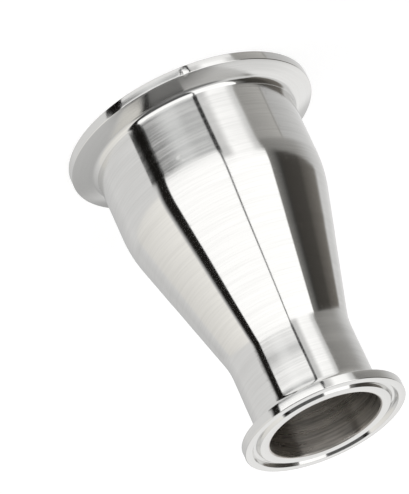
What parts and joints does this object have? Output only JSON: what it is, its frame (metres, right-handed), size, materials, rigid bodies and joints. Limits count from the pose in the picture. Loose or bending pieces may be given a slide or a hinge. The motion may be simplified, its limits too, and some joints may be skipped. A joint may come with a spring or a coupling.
{
  "type": "sanitary ferrule reducer",
  "caption": "Concentric stainless tube reducer: a flanged wide end, a smooth cone and a flanged narrow end, with a gasket groove in each sealing face.",
  "frame": {"origin": "centre of the wide end's sealing face, which the fitting stands on", "axes": "+Z along the bore axis, from the wide end to the narrow end"},
  "size_m": [0.0776, 0.0776, 0.1062],
  "materials": {
    "stainless_steel": "polished stainless steel with fine brushing around the axis"
  },
  "bodies": {
    "root": {"reducer": "stainless_steel"}
  },
  "joints": []
}
